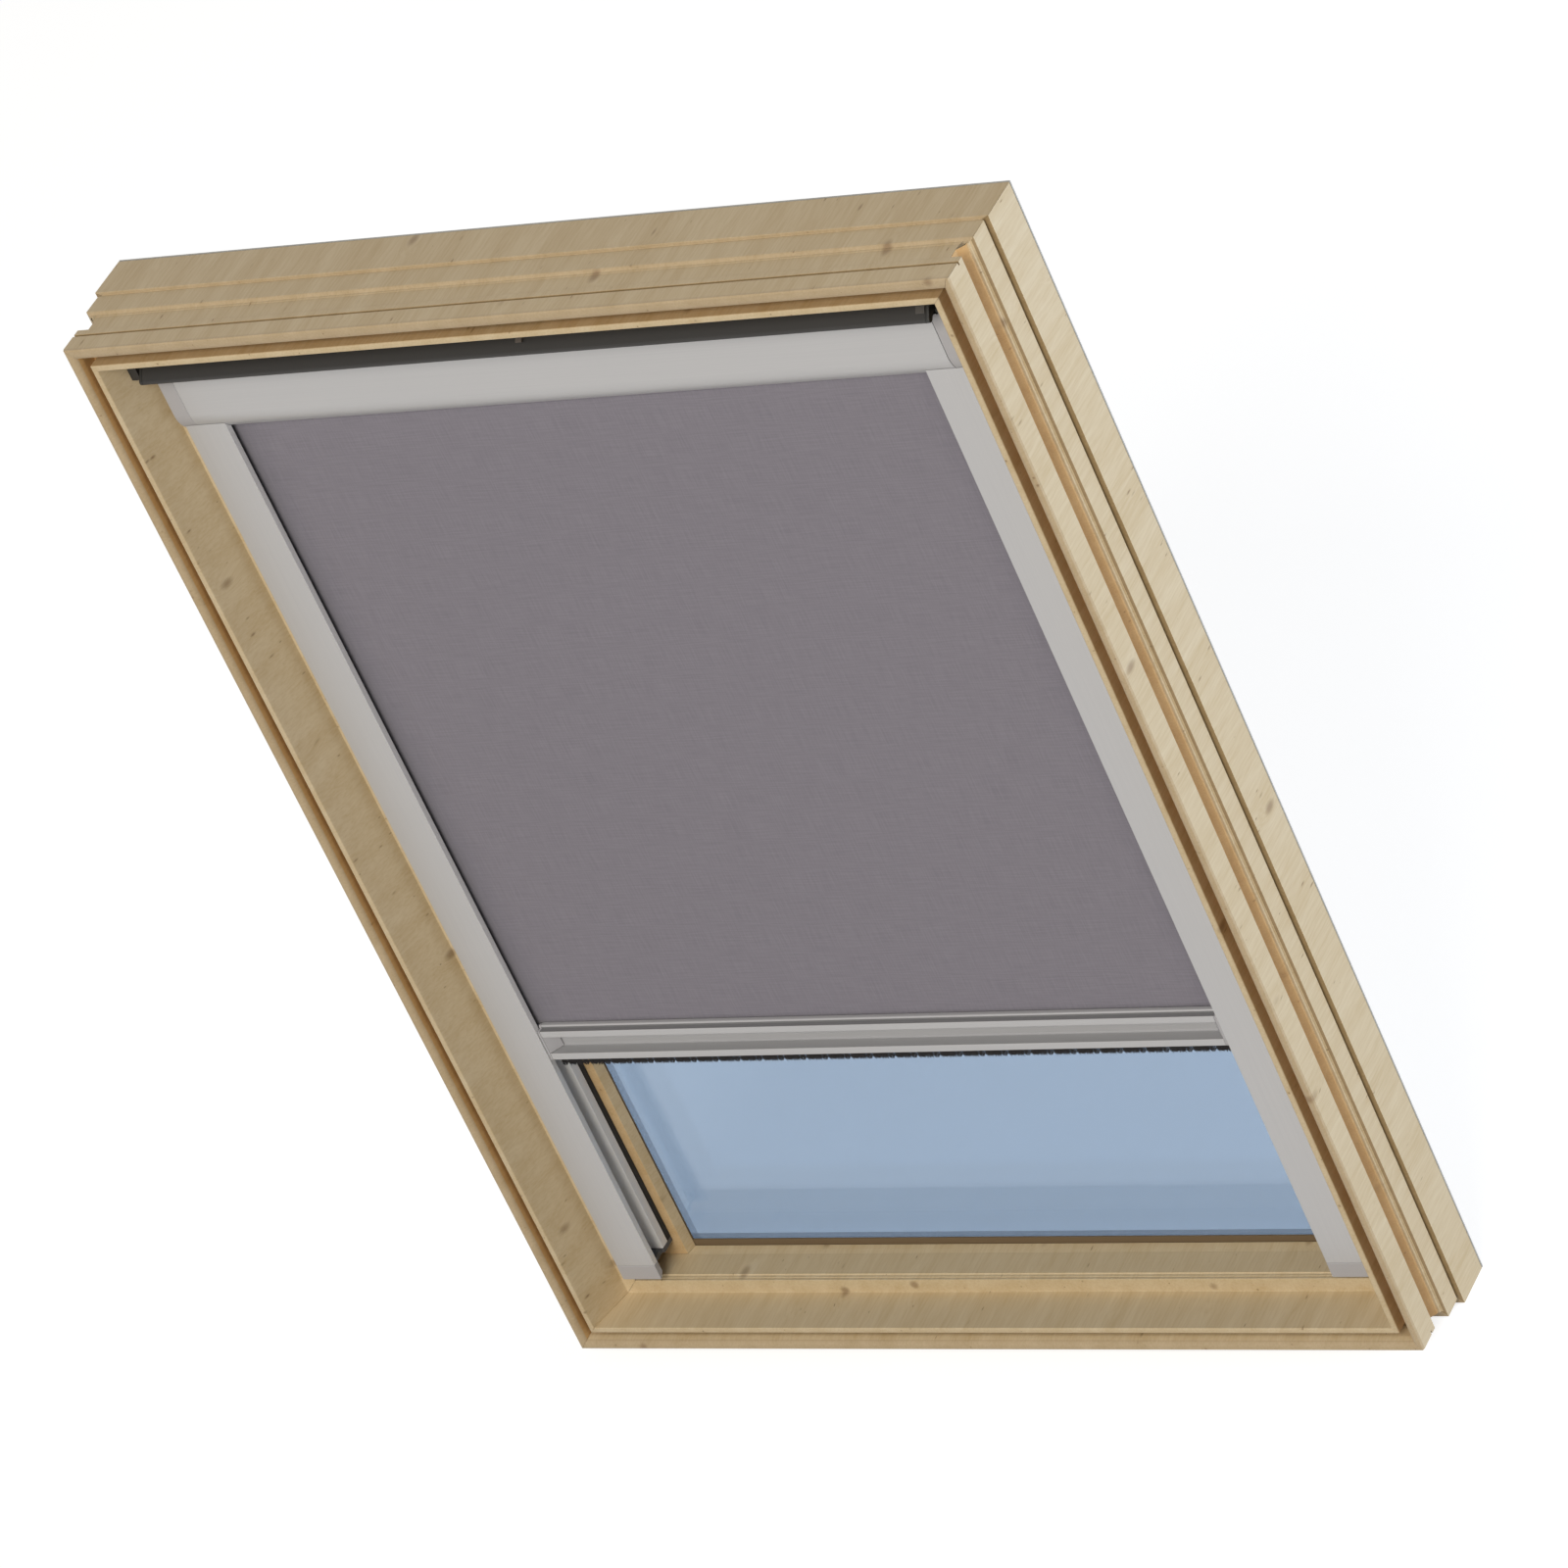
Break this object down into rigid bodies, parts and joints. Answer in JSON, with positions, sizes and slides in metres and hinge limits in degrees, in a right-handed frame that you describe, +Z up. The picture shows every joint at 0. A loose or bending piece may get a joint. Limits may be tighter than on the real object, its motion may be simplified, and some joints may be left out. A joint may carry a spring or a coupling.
{
  "type": "roof window with roller blind",
  "caption": "Centre-pivot pine roof window with insulating glass, a top control bar, and a blackout roller blind running in side rails.",
  "frame": {"origin": "middle of the lower edge of the frame, halfway through its depth", "axes": "+Z up the slope of the roof, +X to the right seen from the room, -Y towards the room, +Y towards the sky"},
  "size_m": [0.74, 0.103, 0.98],
  "materials": {
    "pine": "clear lacquered knotty pine, satin",
    "aluminium": "satin natural anodised extrusion",
    "roof_metal": "grey lacquered exterior sheet",
    "grey_plastic": "fine matt moulded grey",
    "dark_plastic": "dark grey, fine satin",
    "rubber": "matt black sealing rubber",
    "steel": "zinc plated steel",
    "glass": "clear insulating glass, faint blue",
    "blackout_cloth": "matt mauve-grey coated roller cloth",
    "brush_hair": "dark pile strands"
  },
  "bodies": {
    "frame": {"frame_left": "pine", "frame_right": "pine", "frame_head": "pine", "frame_sill": "pine", "frame_cover": "roof_metal", "pivot_pin_left": "steel", "pivot_pin_right": "steel", "lock_keep": "steel"},
    "roller": {"roller_tube": "aluminium", "fabric_roll": "blackout_cloth", "roller_plug_left": "dark_plastic", "roller_plug_right": "dark_plastic"},
    "pull_bar": {"bottom_bar": "aluminium", "bar_end_left": "grey_plastic", "bar_end_right": "grey_plastic", "brush": "brush_hair"},
    "control": {"control_bar": "dark_plastic", "control_cap_left": "dark_plastic", "control_cap_right": "dark_plastic", "latch_nose": "dark_plastic", "bar_pad": "grey_plastic"},
    "flap": {"vent_flap": "dark_plastic"},
    "sash": {"sash_left": "pine", "sash_right": "pine", "sash_head": "pine", "sash_sill": "pine", "headbox_cover": "aluminium", "headbox_back": "aluminium", "rail_left": "aluminium", "rail_right": "aluminium", "sash_cover_left": "roof_metal", "sash_cover_right": "roof_metal", "sash_cover_head": "roof_metal", "sash_cover_sill": "roof_metal", "headbox_cap_left": "grey_plastic", "headbox_cap_right": "grey_plastic", "rail_cap_left": "grey_plastic", "rail_cap_right": "grey_plastic", "glass_spacer": "dark_plastic", "rail_foot_left": "dark_plastic", "rail_foot_right": "dark_plastic", "rail_clip_left": "dark_plastic", "rail_clip_right": "dark_plastic", "pivot_block_left": "dark_plastic", "pivot_block_right": "dark_plastic", "sash_seal": "rubber", "glazing_gasket": "rubber", "rail_seal_left": "rubber", "rail_seal_right": "rubber", "pivot_plate_left": "steel", "pivot_plate_right": "steel", "headbox_bracket_left": "steel", "headbox_bracket_right": "steel", "glass_inner": "glass", "glass_outer": "glass", "blind_fabric": "blackout_cloth"}
  },
  "joints": [
    {"name": "sash_pivot", "type": "hinge", "parent": "frame", "child": "sash", "pos_m": [0, -0.0015, 0.49345], "axis": [1, 0, 0], "range_deg": [0, 150]},
    {"name": "bar_slide", "type": "slide", "parent": "sash", "child": "pull_bar", "axis": [0, 0, 1], "range_m": [-0.214, 0.56], "deforming": ["blind_fabric"]},
    {"name": "roller_spin", "type": "hinge", "parent": "sash", "child": "roller", "pos_m": [0, 0.0047, 0.899], "axis": [1, 0, 0], "range_deg": [-3150, 1205]},
    {"name": "control_pull", "type": "hinge", "parent": "sash", "child": "control", "pos_m": [0, -0.025, 0.9335], "axis": [1, 0, 0], "range_deg": [0, 30]},
    {"name": "flap_swing", "type": "hinge", "parent": "sash", "child": "flap", "pos_m": [0, -0.0165, 0.95], "axis": [1, 0, 0], "range_deg": [-18, 0]}
  ],
  "couplings": [
    {"joint": "roller_spin", "follows": "bar_slide", "rad_per_m": -98.04},
    {"joint": "flap_swing", "follows": "control_pull", "ratio": -0.6}
  ]
}
